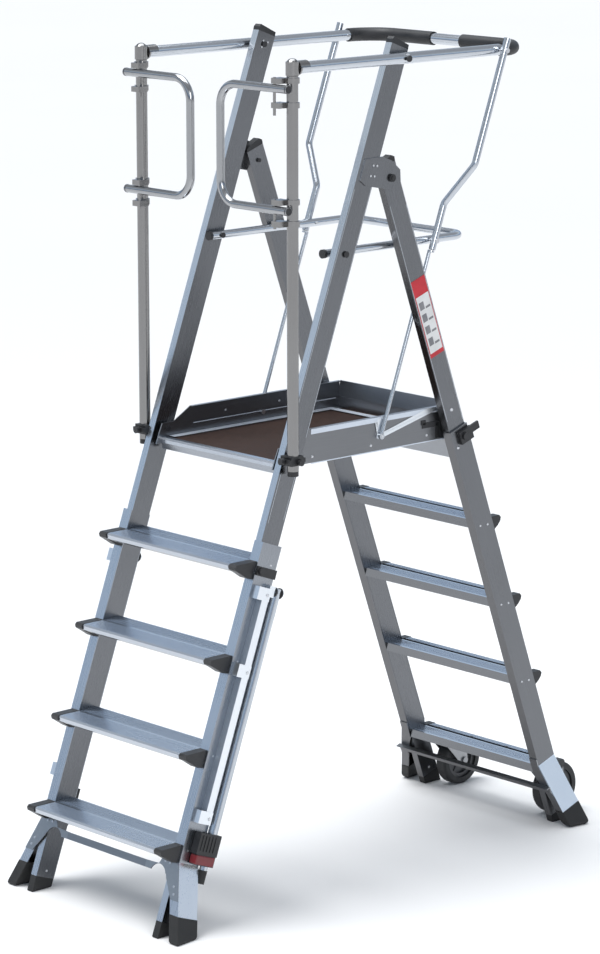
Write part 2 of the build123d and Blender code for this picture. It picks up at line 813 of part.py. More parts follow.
with BuildPart() as front_splay_feet:
    for side in SIDES:
        add(splay_foot(FRONT_FACE, side, FRONT_SLEEVE_OUT, FRONT_DEPTH, FRONT_BEND_U, FRONT_END_U))
save(front_splay_feet, "front_splay_feet")

with BuildPart() as front_lower_rivets:
    for side in SIDES:
        for x, u in ((266, -4), (246, -2), (303, -62), (310, -82)):
            with Locations(FRONT_FACE * Location((side * x, FRONT_BEND_U + u, 7.4 + SLEEVE_LIP - 2.7))):
                Cylinder(3.4, 1.6)
save(front_lower_rivets, "front_lower_rivets")

# Fixed channel that stores each outrigger along the sleeve, with three screwed plates.
with BuildPart() as outrigger_channels:
    low_u = front_u(300, 44)
    high_u = front_u(925, 44)
    for side in SIDES:
        add(mirrored_bar(FRONT, side, low_u, high_u, FRONT_SLEEVE_OUT + 0.1, 319, 26, 50))
        add(mirrored_bar(FRONT, side, low_u - 5, high_u + 5, FRONT_SLEEVE_OUT + 0.1, 316, 29, 53), mode=Mode.SUBTRACT)
        add(mirrored_bar(FRONT, side, low_u, high_u, FRONT_SLEEVE_OUT + 0.1, FRONT_SLEEVE_OUT + 2.6, 26, 50))
        for z in (908, 703, 316):
            plate_u = front_u(z, 44)
            add(mirrored_bar(FRONT, side, plate_u - 18, plate_u + 18, 319, 321.5, 6, 50))
            add(mirrored_bar(FRONT, side, plate_u - 18, plate_u + 18, FRONT_SLEEVE_OUT + 0.1, 321.5, 4, 6.5))
        pin_u = front_u(OUT_TOP_Z, OUT_V)
        add(mirrored_bar(FRONT, side, pin_u - 16, pin_u + 16, FRONT_SLEEVE_OUT + 0.1, 314, 49, 69.8))
        with Locations(FRONT * Location((side * OUT_X, 86, pin_u), (90, 0, 0))):
            Cylinder(5.0, 40)
        with Locations(FRONT * Location((side * OUT_X, 105.6, pin_u), (90, 0, 0))):
            Cylinder(9.0, 4)
save(outrigger_channels, "outrigger_channels")

# Outrigger: swinging tube with a push-button clamp, and a leg that slides in it.
OUT_TOP_U = front_u(OUT_TOP_Z, OUT_V)
CLAMP_TOP_U = 312.0
CLAMP_LOW_U = 222.0
OUT_LOW_U = CLAMP_TOP_U + 0.1
for side, label in ((1, "right"), (-1, "left")):
    with BuildPart() as arm:
        with BuildSketch(FRONT.offset(OUT_LOW_U)):
            with Locations((side * OUT_X, OUT_V)):
                Circle(OUT_R)
                Circle(OUT_R - 2.0, mode=Mode.SUBTRACT)
        extrude(amount=OUT_TOP_U + 12 - OUT_LOW_U)
        with Locations(FRONT * Location((side * OUT_X, OUT_V + 3, OUT_TOP_U), (90, 0, 0))):
            Cylinder(13, 32)
        with Locations(FRONT * Location((side * OUT_X, OUT_V, OUT_TOP_U), (90, 0, 0))):
            Cylinder(5.06, 60, mode=Mode.SUBTRACT)
    save(arm, "outrigger_tube_" + label)
    with BuildPart() as clamp:
        add(mirrored_bar(FRONT, side, CLAMP_LOW_U + 30, CLAMP_TOP_U, 297.5, 324, 24, 102))
        add(mirrored_bar(FRONT, side, CLAMP_LOW_U, CLAMP_LOW_U + 30, 298.5, 322, 30, 100))
        add(mirrored_bar(FRONT, side, CLAMP_LOW_U, CLAMP_TOP_U, 288, 297.5, 71, 102))
        with BuildSketch(FRONT.offset(CLAMP_LOW_U - 5)):
            with Locations((side * OUT_X, OUT_V)):
                Circle(OUT_R - 2.45)
        extrude(amount=200, mode=Mode.SUBTRACT)
    save(clamp, "outrigger_clamp_" + label)
    with BuildPart() as leg:
        with BuildSketch(FRONT.offset(CLAMP_LOW_U - 12)):
            with Locations((side * OUT_X, OUT_V)):
                Circle(OUT_R - 2.5)
                Circle(OUT_R - 4.3, mode=Mode.SUBTRACT)
        extrude(amount=430)
    save(leg, "outrigger_leg_" + label)
    with BuildPart() as tip:
        with BuildSketch(FRONT.offset(CLAMP_LOW_U - 50)):
            with Locations((side * OUT_X, OUT_V)):
                Circle(OUT_R - 1.5)
        extrude(amount=37.9)
    save(tip, "outrigger_tip_" + label)

# Rear lower section.
REAR_BEND_U = rear_u(REAR_BEND_Z)
REAR_END_U = rear_u(REAR_LEG_END_Z)
REAR_SLEEVE_TOP = rear_u(1268, 32)
with BuildPart() as rear_sleeves:
    for side in SIDES:
        add(lower_leg(REAR_FACE, side, REAR_SLEEVE_OUT, REAR_DEPTH, REAR_BEND_U, REAR_SLEEVE_TOP, REAR_END_U))
save(rear_sleeves, "rear_sleeves")

with BuildPart() as rear_outer_treads:
    for height in REAR_TREADS:
        low = height - TREAD_HEIGHT
        add(
            tread(
                (
                    (rear_y(low, REAR_DEPTH + 4.2), height),
                    (rear_y(height, REAR_DEPTH) + 34, height),
                    (rear_y(height, REAR_DEPTH) + 38, height - 5),
                    (rear_y(height, REAR_DEPTH) + 37, low + 6),
                    (rear_y(height, REAR_DEPTH) + 30, low),
                    (rear_y(low, REAR_DEPTH + 4.2), low),
                )
            )
        )
save(rear_outer_treads, "rear_outer_treads")

with BuildPart() as rear_tread_caps:
    for height in REAR_TREADS:
        low = height - 40
        points = (
            (rear_y(height + 1, REAR_DEPTH + 3.9), height + 1),
            (rear_y(height, REAR_DEPTH) + 40, height + 1),
            (rear_y(height, REAR_DEPTH) + 46, height - 6),
            (rear_y(height, REAR_DEPTH) + 44, height - 16),
            (rear_y(height, REAR_DEPTH) + 34, height - 28),
            (rear_y(low, REAR_DEPTH + 3.9), low),
        )
        for side in SIDES:
            add(mirrored_plate(points, side, TREAD_HALF + 0.1, 288))
save(rear_tread_caps, "rear_tread_caps")

with BuildPart() as rear_gussets:
    for side in SIDES:
        with BuildSketch(REAR_FACE.offset(0.7 + SLEEVE_LIP)):
            Polygon(
                (side * INNER_FACE, REAR_BEND_U + 26),
                (side * REAR_SLEEVE_OUT, REAR_BEND_U + 26),
                (side * REAR_SLEEVE_OUT, REAR_BEND_U + 3),
                (side * (REAR_SLEEVE_OUT + 34), REAR_BEND_U - 94),
                (side * (INNER_FACE + 36), REAR_BEND_U - 94),
                (side * (INNER_FACE + 2), REAR_BEND_U - 30),
                align=None,
            )
        extrude(amount=2.5)
save(rear_gussets, "rear_gussets")

with BuildPart() as rear_crossbar:
    bar_u = REAR_BEND_U - 84
    add(bar(REAR, bar_u, bar_u + 22, -322, 322, -9.1, -6.1))
    add(bar(REAR, bar_u + 19.5, bar_u + 22, -322, 322, -22, -9.1))
save(rear_crossbar, "rear_crossbar")

with BuildPart() as rear_splay_feet:
    for side in SIDES:
        add(splay_foot(REAR_FACE, side, REAR_SLEEVE_OUT, REAR_DEPTH, REAR_BEND_U, REAR_END_U))
save(rear_splay_feet, "rear_splay_feet")

# Wheel brackets under the lowest outer tread.
BRACKET_TOP = REAR_TREADS[3] - TREAD_HEIGHT
TREAD_BACK = rear_y(REAR_TREADS[3], REAR_DEPTH) + 30
with BuildPart() as wheel_brackets:
    for side in SIDES:
        with Locations((side * WHEEL_X, (TREAD_BACK - 26 + WHEEL_Y + 8) / 2, BRACKET_TOP - 1.7)):
            Box(58, WHEEL_Y + 8 - TREAD_BACK + 26, 3.2)
        cheek = (
            (TREAD_BACK - 26, BRACKET_TOP - 3.3),
            (TREAD_BACK - 26, BRACKET_TOP - 20),
            (WHEEL_Y - 14, 68),
            (WHEEL_Y, 63),
            (WHEEL_Y + 14, 72),
            (WHEEL_Y + 8, BRACKET_TOP - 3.3),
        )
        for offset_x in (-27.0, 27.0):
            add(side_plate(cheek, side * WHEEL_X + offset_x - 1.5, side * WHEEL_X + offset_x + 1.5))
        with Locations(across(side * WHEEL_X, WHEEL_Y, WHEEL_R)):
            Cylinder(AXLE_R, 64)
        for offset_x in (-31, 31):
            with Locations(across(side * WHEEL_X + offset_x, WHEEL_Y, WHEEL_R)):
                Cylinder(10, 6)
save(wheel_brackets, "wheel_brackets")

for side, label in ((1, "right"), (-1, "left")):
    with BuildPart() as hub:
        with Locations(across(side * WHEEL_X, WHEEL_Y, WHEEL_R)):
            Cylinder(58, 24)
            Cylinder(46, 24, mode=Mode.SUBTRACT)
            Cylinder(47, 6)
            Cylinder(17, 44)
            Cylinder(AXLE_R + 0.06, 60, mode=Mode.SUBTRACT)
    save(hub, "wheel_hub_" + label)
    with BuildPart() as tyre:
        with Locations(across(side * WHEEL_X, WHEEL_Y, WHEEL_R)):
            Cylinder(WHEEL_R, WHEEL_W)
            Cylinder(58.05, WHEEL_W + 4, mode=Mode.SUBTRACT)
        fillet(tyre.edges().filter_by(GeomType.CIRCLE).filter_by(lambda e: e.radius > 60), 8)
    save(tyre, "wheel_tyre_" + label)

# ======================= sprung lock levers =======================
for side, label in ((1, "right"), (-1, "left")):
    with BuildPart() as front_lock:
        lock_u = front_u(966, 33)
        add(mirrored_bar(FRONT, side, lock_u - 13, lock_u + 13, FRONT_SLEEVE_OUT + 0.1, 302, -2, 71))
        with Locations(FRONT * Location((side * 303, 12, lock_u), (0, 90, 0))):
            Cylinder(9, 10)
    save(front_lock, "front_lock_" + label)
    with BuildPart() as rear_lock:
        wing_u = rear_u(1246, 40)
        add(mirrored_bar(REAR, side, wing_u - 22, wing_u + 16, REAR_SLEEVE_OUT + 0.1, 303, 22, 72))
        add(mirrored_bar(REAR, side, wing_u - 8, wing_u + 14, REAR_SLEEVE_OUT + 1.0, 300, 72, 104))
        with Locations(REAR * Location((side * 305, 40, wing_u - 2), (0, 90, 0))):
            Cylinder(11, 9)
    save(rear_lock, "rear_lock_" + label)
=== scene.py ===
import math

import bmesh
import bpy
from mathutils import Matrix, Vector


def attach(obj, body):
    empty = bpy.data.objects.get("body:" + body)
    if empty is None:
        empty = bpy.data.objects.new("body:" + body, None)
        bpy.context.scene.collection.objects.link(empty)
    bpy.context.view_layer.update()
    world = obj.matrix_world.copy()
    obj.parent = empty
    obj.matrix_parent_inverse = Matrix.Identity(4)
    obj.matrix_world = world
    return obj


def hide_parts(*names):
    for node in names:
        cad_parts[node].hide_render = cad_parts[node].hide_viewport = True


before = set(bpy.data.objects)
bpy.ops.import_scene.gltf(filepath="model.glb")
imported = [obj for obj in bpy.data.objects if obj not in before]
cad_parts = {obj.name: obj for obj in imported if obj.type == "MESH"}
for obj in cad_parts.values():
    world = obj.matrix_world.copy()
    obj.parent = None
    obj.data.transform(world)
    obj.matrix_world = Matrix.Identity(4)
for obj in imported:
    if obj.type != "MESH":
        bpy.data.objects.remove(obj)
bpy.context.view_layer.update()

# Driving dimensions of the CAD part: angles in radians, lengths in metres.
# the stiles' leans, where their front faces meet the floor, and the rear ones' depth
LEAN_F = math.radians(20.2)
LEAN_R = math.radians(19.8)
FRONT_Y = -0.857
REAR_Y = 0.706
REAR_DEPTH = 0.064
# half widths over the faces of the stiles, sleeves and side boards
OUTER = 0.2856
INNER = 0.2616
FRONT_SLEEVE_X = 0.2965
REAR_SLEEVE_X = 0.2920
BOARD_IN = 0.2440
BOARD_OUT = 0.2475
# heights of the treads and the deck
FRONT_TREADS = (1.000, 0.750, 0.500, 0.250)
REAR_TREADS = (0.985, 0.735, 0.485, 0.190)
DECK_Z = 1.250
# places of the outrigger pivots, the gate tubes and the wheel centres
OUTRIGGER_X = 0.303
OUTRIGGER_V = 0.084
OUTRIGGER_TOP_Z = 0.905
GATE_Y = -0.414
GATE_HEIGHTS = (2.288, 1.960)
WHEEL_CENTRE = (0.206, 0.793, 0.079)

SIDES = (-1, 1)
NAMED_SIDES = ((1, "right"), (-1, "left"))
OUTWARD = {1: (1, 0, 0), -1: (-1, 0, 0)}
# along the front stiles, and square to them towards the rear
U_AXIS = Vector((0, math.sin(LEAN_F), math.cos(LEAN_F)))
V_AXIS = Vector((0, math.cos(LEAN_F), -math.sin(LEAN_F)))


def front_point(x, v, z):
    """A point v behind the front stile's front face at height z."""
    return Vector((x, FRONT_Y + z * math.tan(LEAN_F) + v / math.cos(LEAN_F), z))


def rear_point(x, w, z):
    """A point w behind the rear stile's front face at height z."""
    return Vector((x, REAR_Y - z * math.tan(LEAN_R) + w / math.cos(LEAN_R), z))


def along_front(x, v, u):
    """A point u up along the front stiles from the floor and v behind their front faces."""
    return Vector((x, FRONT_Y, 0)) + V_AXIS * v + U_AXIS * u


def front_face_y(z):
    return front_point(0, 0, z).y


def rear_back_y(z):
    return rear_point(0, REAR_DEPTH, z).y


# ------------------------------------------------------------------ materials
def new_material(name):
    mat = bpy.data.materials.new(name)
    mat.use_nodes = True
    nodes = mat.node_tree.nodes
    shader = nodes["Principled BSDF"]
    return mat, nodes, mat.node_tree.links, shader


def coordinates(nodes, links, scale, turn=0.0):
    """Object coordinates turned about X, so that a leaning part's length lies along Z, then scaled."""
    place = nodes.new("ShaderNodeTexCoord")
    lean = nodes.new("ShaderNodeMapping")
    lean.inputs["Rotation"].default_value = (turn, 0.0, 0.0)
    mapping = nodes.new("ShaderNodeMapping")
    mapping.inputs["Scale"].default_value = scale
    links.new(place.outputs["Object"], lean.inputs["Vector"])
    links.new(lean.outputs["Vector"], mapping.inputs["Vector"])
    return mapping.outputs["Vector"]


def noise(nodes, links, vector, scale, detail):
    tex = nodes.new("ShaderNodeTexNoise")
    tex.inputs["Scale"].default_value = scale
    tex.inputs["Detail"].default_value = detail
    tex.inputs["Roughness"].default_value = 0.55
    links.new(vector, tex.inputs["Vector"])
    return tex.outputs["Fac"]


def ramp(nodes, links, value, stops):
    """A colour ramp; stops are (position, colour) from low to high."""
    node = nodes.new("ShaderNodeValToRGB")
    node.color_ramp.elements[0].position = stops[0][0]
    node.color_ramp.elements[0].color = (*stops[0][1], 1)
    node.color_ramp.elements[1].position = stops[-1][0]
    node.color_ramp.elements[1].color = (*stops[-1][1], 1)
    for position, colour in stops[1:-1]:
        node.color_ramp.elements.new(position).color = (*colour, 1)
    links.new(value, node.inputs["Fac"])
    return node.outputs["Color"]


def spread(nodes, links, value, low, high):
    """The noise's usual range, 0.3 to 0.7, mapped to low and high."""
    node = nodes.new("ShaderNodeMapRange")
    node.inputs["From Min"].default_value = 0.3
    node.inputs["From Max"].default_value = 0.7
    node.inputs["To Min"].default_value = low
    node.inputs["To Max"].default_value = high
    links.new(value, node.inputs["Value"])
    return node.outputs["Result"]


def bump(nodes, links, shader, height, strength, distance):
    node = nodes.new("ShaderNodeBump")
    node.inputs["Strength"].default_value = strength
    node.inputs["Distance"].default_value = distance
    links.new(height, node.inputs["Height"])
    links.new(node.outputs["Normal"], shader.inputs["Normal"])


def band(nodes, links, value, low, high):
    """1 where value passes from low to high, 0 before it."""
    node = nodes.new("ShaderNodeMapRange")
    node.inputs["From Min"].default_value = low
    node.inputs["From Max"].default_value = high
    links.new(value, node.inputs["Value"])
    return node.outputs["Result"]


def blended(nodes, links, factor, below, above):
    """The colour below where factor is 0, above where it is 1."""
    node = nodes.new("ShaderNodeMix")
    node.data_type = "RGBA"
    links.new(factor, node.inputs["Factor"])
    links.new(below, node.inputs["A"])
    links.new(above, node.inputs["B"])
    return node.outputs["Result"]


def calculated(nodes, links, operation, first, second=None):
    """A math node's result; second is another node's output or a number."""
    node = nodes.new("ShaderNodeMath")
    node.operation = operation
    links.new(first, node.inputs[0])
    if isinstance(second, float):
        node.inputs[1].default_value = second
    elif second is not None:
        links.new(second, node.inputs[1])
    return node.outputs[0]


def toned(nodes, links, value, colour, low, high):
    """colour, varying from low to high times its brightness."""
    dim = tuple(channel * low for channel in colour)
    bright = tuple(channel * high for channel in colour)
    return ramp(nodes, links, value, ((0.3, dim), (0.7, bright)))


def metal(name, low, high, rough, stretch, depth, side=None, splayed_highlight=None, under_shade=None,
          facing_shade=False, metallic=1.0, turn=0.0):
    """Extruded or drawn metal with fine streaks, between the tones low and high.

    stretch is small along the streaks, and turn is the part's lean. side is a darker painted shade
    for upright faces across X, splayed a near-white painted highlight for faces leaning out and up
    below a bend, and under a painted shade for faces turned towards the floor and, with facing,
    for those turned towards -Y.
    """
    mat, nodes, links, shader = new_material(name)
    streak = noise(nodes, links, coordinates(nodes, links, stretch, turn), 9.0, 6.0)
    cloud = noise(nodes, links, coordinates(nodes, links, (1, 1, 1)), 3.5, 3.0)
    total = calculated(nodes, links, "ADD", streak, cloud)
    mixed = calculated(nodes, links, "MULTIPLY", total, 0.5)
    colour = ramp(nodes, links, mixed, ((0.15, low), (0.85, high)))
    place = nodes.new("ShaderNodeTexCoord")
    normal = nodes.new("ShaderNodeSeparateXYZ")
    links.new(place.outputs["Normal"], normal.inputs["Vector"])
    across = calculated(nodes, links, "ABSOLUTE", normal.outputs["X"])
    # painted shade: upright faces across X take a darker copy of the metal's colour
    if side:
        tone = toned(nodes, links, mixed, side, 0.92, 1.08)
        upright = band(nodes, links, across, 0.96, 0.995)
        colour = blended(nodes, links, upright, colour, tone)
    # painted highlight: faces leaning out and up below a bend take a near-white colour
    if splayed_highlight:
        tone = toned(nodes, links, mixed, splayed_highlight, 0.94, 1.0)
        outward = band(nodes, links, across, 0.90, 0.92)
        upward = band(nodes, links, normal.outputs["Z"], 0.15, 0.25)
        leaning = calculated(nodes, links, "MULTIPLY", outward, upward)
        colour = blended(nodes, links, leaning, colour, tone)
    # painted shade: faces turned to the floor take a darker colour
    if under_shade:
        tone = toned(nodes, links, mixed, under_shade, 0.9, 1.0)
        shade_below_mask = band(nodes, links, normal.outputs["Z"], -0.15, -0.28)
        colour = blended(nodes, links, shade_below_mask, colour, tone)
        # painted shade: faces turned towards -Y take that darker colour too
        if facing_shade:
            shade_front_mask = band(nodes, links, normal.outputs["Y"], -0.6, -0.8)
            colour = blended(nodes, links, shade_front_mask, colour, tone)
    links.new(colour, shader.inputs["Base Color"])
    links.new(spread(nodes, links, mixed, rough - 0.03, rough + 0.04), shader.inputs["Roughness"])
    shader.inputs["Metallic"].default_value = metallic
    bump(nodes, links, shader, streak, depth, 0.0003)
    return mat


def plastic(name, low, high, rough, grain=900.0, strength=0.25, coat=0.0):
    """Moulded plastic, rubber, foam or paint; grain is the scale of its fine bumps."""
    mat, nodes, links, shader = new_material(name)
    vector = coordinates(nodes, links, (1, 1, 1))
    fine = noise(nodes, links, vector, grain, 2.0)
    broad = noise(nodes, links, vector, 22.0, 3.0)
    links.new(ramp(nodes, links, broad, ((0.32, low), (0.68, high))), shader.inputs["Base Color"])
    links.new(spread(nodes, links, broad, rough - 0.07, rough + 0.09), shader.inputs["Roughness"])
    shader.inputs["Coat Weight"].default_value = coat
    bump(nodes, links, shader, fine, strength, 0.0003)
    return mat


# how much the streak noise is stretched
ALONG_X = (0.8, 48.0, 48.0)
ALONG_Y = (48.0, 0.8, 48.0)
ALONG_Z = (48.0, 48.0, 0.8)
MOTTLED = (20.0, 20.0, 20.0)
CLOUDED = (12.0, 12.0, 12.0)
# tones that several metals share; the first two are painted shade, for faces turned to the floor and for
# upright faces across X
PAINTED_SHADE_BELOW = (0.15, 0.15, 0.155)
PAINTED_SHADE_SIDE = (0.17, 0.175, 0.185)
STILE_TONES = ((0.52, 0.55, 0.59), (0.64, 0.67, 0.71))
TREAD_TONES = ((0.54, 0.58, 0.64), (0.64, 0.68, 0.74))

# the stiles get painted shade on their upright faces across X and on faces turned to the floor
M_STILE = metal(
    "stile_aluminium", *STILE_TONES, 0.27, ALONG_Z, 0.02,
    side=PAINTED_SHADE_SIDE, under_shade=PAINTED_SHADE_BELOW, turn=LEAN_F,
)
M_STILE_REAR = metal(
    "rear_stile_aluminium", *STILE_TONES, 0.27, ALONG_Z, 0.02,
    side=PAINTED_SHADE_SIDE, under_shade=PAINTED_SHADE_BELOW, turn=-LEAN_R,
)
# the sleeves get painted shade on their upright faces across X and on faces turned to the floor, and a
# near-white painted highlight on their lower faces that lean out and up
M_SLEEVE = metal(
    "sleeve_aluminium", (0.50, 0.53, 0.57), (0.62, 0.65, 0.69), 0.27, ALONG_Z, 0.02,
    side=(0.28, 0.295, 0.32), splayed_highlight=(0.95, 0.96, 0.97), under_shade=PAINTED_SHADE_BELOW, turn=LEAN_F,
)
M_SLEEVE_REAR = metal(
    "rear_sleeve_aluminium", (0.46, 0.48, 0.51), (0.56, 0.58, 0.61), 0.29, ALONG_Z, 0.02,
    side=PAINTED_SHADE_SIDE, splayed_highlight=(0.97, 0.97, 0.97), under_shade=PAINTED_SHADE_BELOW, turn=-LEAN_R,
)
# these metals get painted shade on faces turned to the floor; the rear treads also on faces turned towards
# -Y
M_GUSSET = metal("gusset_plate", (0.30, 0.315, 0.33), (0.40, 0.415, 0.43), 0.30, CLOUDED, 0.02, under_shade=PAINTED_SHADE_BELOW)
M_CROSSBAR = metal(
    "crossbar_aluminium", (0.24, 0.25, 0.265), (0.33, 0.345, 0.36), 0.30, ALONG_X, 0.02, under_shade=PAINTED_SHADE_BELOW
)
M_TREAD = metal("tread_aluminium", *TREAD_TONES, 0.25, ALONG_X, 0.02, under_shade=PAINTED_SHADE_BELOW)
M_TREAD_REAR = metal(
    "rear_tread_aluminium", *TREAD_TONES, 0.25, ALONG_X, 0.02,
    under_shade=(0.20, 0.205, 0.215), facing_shade=True,
)
M_TREAD_IN = metal(
    "inner_tread_aluminium", (0.46, 0.50, 0.56), (0.55, 0.59, 0.65), 0.27, ALONG_X, 0.02, under_shade=PAINTED_SHADE_BELOW
)
M_RAIL = metal("rail_tube", (0.50, 0.525, 0.56), (0.60, 0.625, 0.66), 0.18, ALONG_Y, 0.01)
M_POST = metal("post_tube", (0.235, 0.23, 0.228), (0.315, 0.31, 0.305), 0.20, ALONG_Z, 0.01)
M_GATE = metal("gate_tube", (0.32, 0.325, 0.335), (0.42, 0.425, 0.435), 0.16, ALONG_Z, 0.01)
M_STRUT = metal("strut_tube", (0.42, 0.445, 0.48), (0.52, 0.545, 0.58), 0.20, ALONG_Z, 0.01)
M_OUTRIGGER = metal(
    "outrigger_tube_metal", (0.44, 0.47, 0.51), (0.54, 0.57, 0.61), 0.20, ALONG_Z, 0.01, turn=LEAN_F
)
# the toe boards get a darker painted shade on their upright faces across X
M_BOARD = metal(
    "toe_board_aluminium", (0.30, 0.31, 0.33), (0.42, 0.43, 0.45), 0.32, ALONG_Y, 0.04,
    side=(0.20, 0.205, 0.215),
)
M_BRACKET = metal("bracket_zinc", (0.24, 0.245, 0.255), (0.36, 0.365, 0.375), 0.30, MOTTLED, 0.03)
M_ZINC = metal("zinc_plate", (0.50, 0.51, 0.53), (0.70, 0.71, 0.73), 0.28, MOTTLED, 0.05)
M_BRIGHT = metal("bright_leg_aluminium", (0.70, 0.73, 0.77), (0.80, 0.83, 0.86), 0.30, ALONG_Z, 0.02)
# a bright, only partly metallic colour: a painted highlight for the raised strips along the platform's
# edges
M_PAINTED_EDGE_HIGHLIGHT = metal(
    "edge_strip_painted_highlight", (0.56, 0.61, 0.68), (0.68, 0.73, 0.80), 0.34, ALONG_Y, 0.02, metallic=0.35
)
M_BLACK = plastic("black_moulding", (0.008, 0.008, 0.009), (0.020, 0.020, 0.022), 0.42)
M_RUBBER = plastic("black_rubber", (0.008, 0.008, 0.008), (0.018, 0.018, 0.018), 0.62, 1400.0, 0.5)
M_FOAM = plastic("foam_grip", (0.006, 0.006, 0.007), (0.016, 0.016, 0.018), 0.50, 1100.0, 0.6)
M_TYRE = plastic("tyre_rubber", (0.012, 0.012, 0.012), (0.026, 0.026, 0.027), 0.58, 700.0, 0.4)
M_HUB = plastic("wheel_hub_plastic", (0.05, 0.05, 0.052), (0.09, 0.09, 0.093), 0.45)
M_RED = plastic("red_moulding", (0.115, 0.007, 0.010), (0.18, 0.011, 0.015), 0.36, 900.0, 0.2, 0.2)


def deck_material():
    """Dark brown plywood with a pimpled anti-slip face."""
    mat, nodes, links, shader = new_material("deck_plywood")
    vector = coordinates(nodes, links, (1, 1, 1))
    grain = noise(nodes, links, coordinates(nodes, links, (6.0, 1.0, 6.0)), 30.0, 6.0)
    grid = nodes.new("ShaderNodeTexVoronoi")
    grid.inputs["Scale"].default_value = 190.0
    links.new(vector, grid.inputs["Vector"])
    colour = ramp(nodes, links, grain, ((0.3, (0.022, 0.012, 0.009)), (0.7, (0.050, 0.028, 0.022))))
    links.new(colour, shader.inputs["Base Color"])
    links.new(spread(nodes, links, grain, 0.62, 0.78), shader.inputs["Roughness"])
    shader.inputs["Specular IOR Level"].default_value = 0.18
    bump(nodes, links, shader, grid.outputs["Distance"], 0.5, 0.0006)
    return mat


M_DECK = deck_material()
M_WHITE = plastic("panel_white", (0.62, 0.62, 0.61), (0.74, 0.74, 0.73), 0.45, 500.0, 0.1)
M_PANEL_RED = plastic("panel_red", (0.42, 0.012, 0.022), (0.55, 0.020, 0.032), 0.42, 500.0, 0.1)
M_PANEL_GREY = plastic("panel_grey", (0.16, 0.16, 0.17), (0.25, 0.25, 0.26), 0.5, 500.0, 0.1)

LOOKS = {
    "front_stiles": M_STILE, "rear_stiles": M_STILE_REAR,
    "front_inner_treads": M_TREAD_IN, "rear_inner_treads": M_TREAD_REAR,
    "front_outer_treads": M_TREAD, "rear_outer_treads": M_TREAD_REAR,
    "front_sleeves": M_SLEEVE, "rear_sleeves": M_SLEEVE_REAR,
    "front_gussets": M_GUSSET, "rear_gussets": M_GUSSET,
    "front_crossbar": M_CROSSBAR, "rear_crossbar": M_CROSSBAR,
    "outrigger_channels": M_BRIGHT,
    "hinge_plates": M_STILE, "front_rivets": M_ZINC, "front_lower_rivets": M_ZINC,
    "front_pivot_bolts": M_BLACK, "strut_bolts": M_ZINC,
    "guard_posts": M_POST, "gate_left": M_GATE, "gate_right": M_GATE,
    "post_tees": M_POST, "gate_collars": M_POST, "post_clips": M_BLACK,
    "side_boards": M_BOARD, "rear_board": M_BOARD, "front_beam": M_TREAD, "platform_stays": M_BRIGHT,
    "deck_board": M_DECK, "top_rail": M_RAIL, "mid_rail": M_RAIL,
    "rail_grips": M_FOAM, "upper_struts": M_STRUT, "lower_rods": M_STRUT,
    "front_splay_feet": M_RUBBER, "rear_splay_feet": M_RUBBER,
    "front_upright_feet": M_RUBBER, "rear_upright_feet": M_RUBBER,
    "wheel_brackets": M_BRACKET, "wheel_tyre_left": M_TYRE, "wheel_tyre_right": M_TYRE,
    "wheel_hub_left": M_HUB, "wheel_hub_right": M_HUB,
    "outrigger_tube_left": M_OUTRIGGER, "outrigger_tube_right": M_OUTRIGGER,
    "outrigger_leg_left": M_STRUT, "outrigger_leg_right": M_STRUT,
    "outrigger_tip_left": M_RUBBER, "outrigger_tip_right": M_RUBBER,
}
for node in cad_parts:
    obj = bpy.data.objects[node]
    look = LOOKS.get(node, M_BLACK)
    if len(obj.material_slots) == 0:
        obj.data.materials.append(look)
    for holder in obj.material_slots:
        holder.material = look


# ------------------------------------------------------------------ piece helpers
def piece(name, bm, mat, body, bevel=0.0):
    """A mesh object made from bm, riding on body."""
    mesh = bpy.data.meshes.new(name)
    bmesh.ops.recalc_face_normals(bm, faces=bm.faces)
    bm.to_mesh(mesh)
    bm.free()
    obj = bpy.data.objects.new(name, mesh)
    bpy.context.scene.collection.objects.link(obj)
    mesh.materials.append(mat)
    if bevel:
        mod = obj.modifiers.new("edge", "BEVEL")
        mod.width = bevel
        mod.segments = 2
        mod.limit_method = "ANGLE"
    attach(obj, body)
    return obj


def block(bm, centre, size, turn=None):
    """A box in bm; turn is a rotation about X in radians."""
    matrix = Matrix.Translation(centre)
    if turn:
        matrix = matrix @ Matrix.Rotation(turn, 4, "X")
    matrix = matrix @ Matrix.Diagonal((*size, 1))
    bmesh.ops.create_cube(bm, size=1, matrix=matrix)


def disc(bm, centre, axis, radius, depth, dome=0.0):
    """A short cylinder with a smaller top ring, like a rivet or screw head."""
    turn = Vector(axis).normalized().to_track_quat("Z", "Y").to_matrix().to_4x4()
    bmesh.ops.create_cone(
        bm, cap_ends=True, segments=28, radius1=radius, radius2=radius * (1 - dome), depth=depth,
        matrix=Matrix.Translation(centre) @ turn,
    )


# ------------------------------------------------------------------ boots
SOLE_TOP_Z = 0.006
SOLE_WEIGHT = 1.0
UPRIGHT_WEIGHT = 0.25
WELD = 0.00002
FLAT_ANGLE = math.radians(3)
SHARP_ANGLE = math.radians(25)


